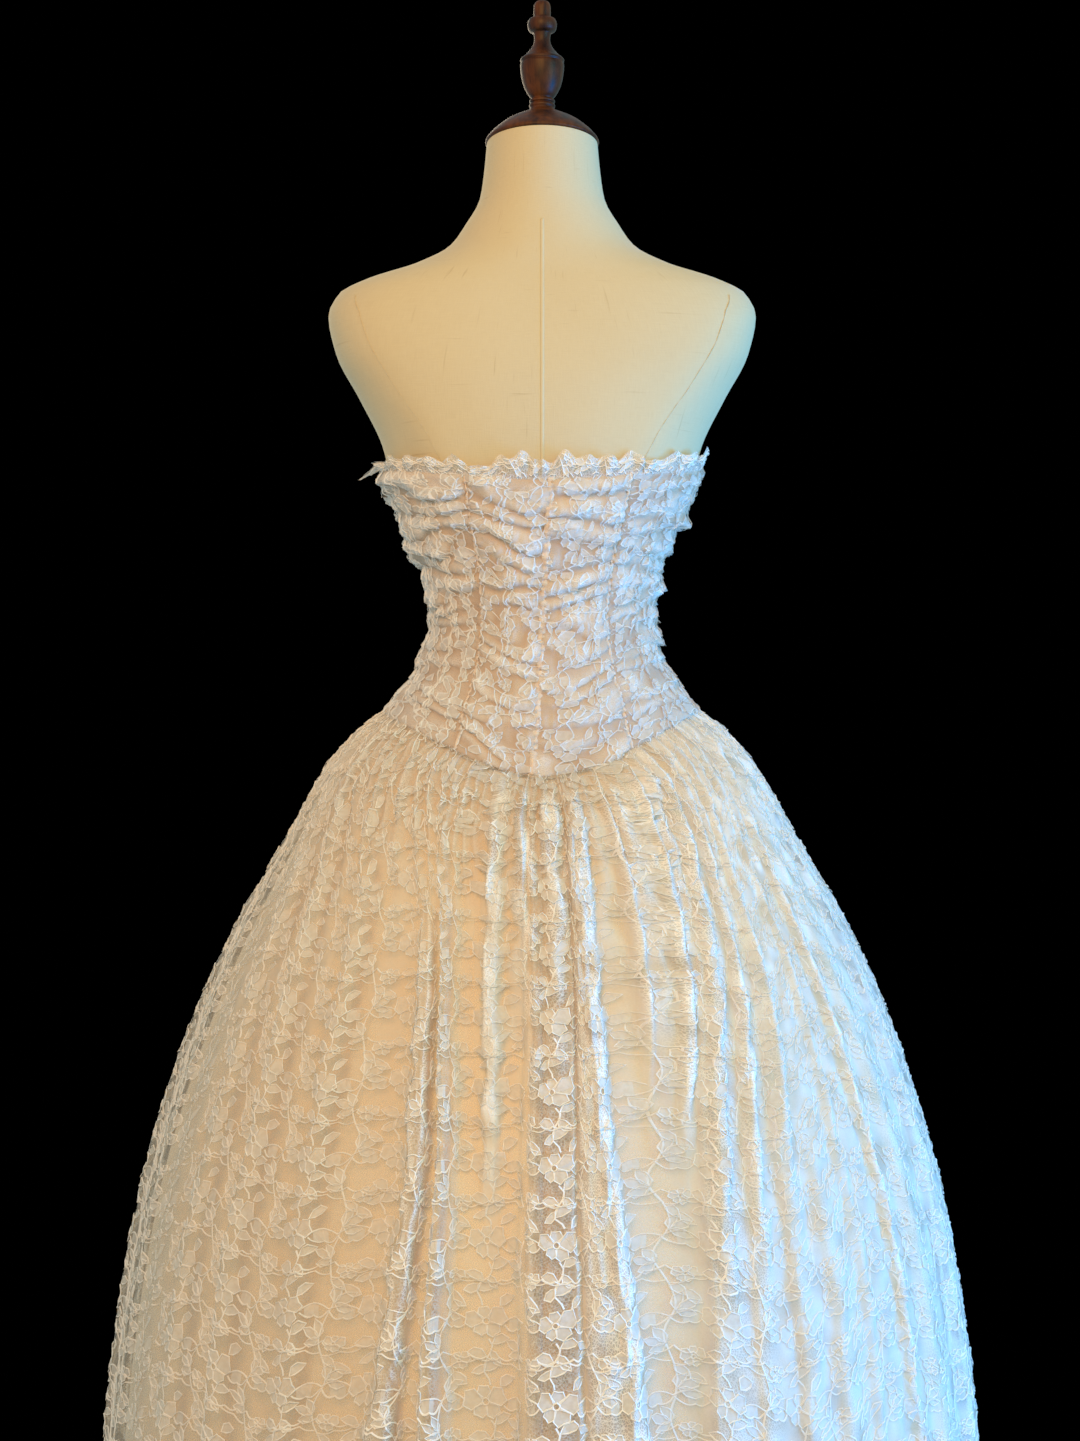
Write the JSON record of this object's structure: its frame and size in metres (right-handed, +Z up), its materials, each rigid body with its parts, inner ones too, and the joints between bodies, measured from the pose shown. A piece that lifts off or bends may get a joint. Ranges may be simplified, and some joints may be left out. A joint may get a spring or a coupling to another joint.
{
  "type": "strapless lace ball gown on a dress form",
  "caption": "Strapless floor-length ball gown with a ruched lace bodice, pointed waist and full gathered lace skirt, on an armless linen-covered dress form with a turned wooden finial.",
  "frame": {"origin": "middle of the underside of the stand's round foot, on the floor", "axes": "+Z up along the pole, -Y out of the gown's front, +Y out of its centre back, -X to the wearer's right"},
  "size_m": [0.8356, 0.8388, 1.6405],
  "materials": {
    "ivory_lace": "corded floral lace on fine net",
    "ruched_lace": "gathered lace laid over satin",
    "champagne_satin": "soft satin",
    "linen_cover": "plain woven linen",
    "dark_wood": "dark stained and varnished, turned",
    "black_metal": "satin black paint"
  },
  "bodies": {
    "root": {"bodice_back_left": "ruched_lace", "bodice_back_right": "ruched_lace", "bodice_side_back_left": "ruched_lace", "bodice_side_back_right": "ruched_lace", "bodice_side_front_left": "ruched_lace", "bodice_side_front_right": "ruched_lace", "bodice_front": "ruched_lace", "neckline_frill": "ivory_lace", "skirt_lace_back_left": "ivory_lace", "skirt_lace_back_right": "ivory_lace", "skirt_lace_side_left": "ivory_lace", "skirt_lace_side_right": "ivory_lace", "skirt_lace_front": "ivory_lace", "skirt_satin_back_left": "champagne_satin", "skirt_satin_back_right": "champagne_satin", "skirt_satin_front": "champagne_satin", "form_torso": "linen_cover", "form_neck_cap": "dark_wood", "form_finial": "dark_wood", "stand_pole": "black_metal", "stand_foot": "black_metal"}
  },
  "joints": []
}
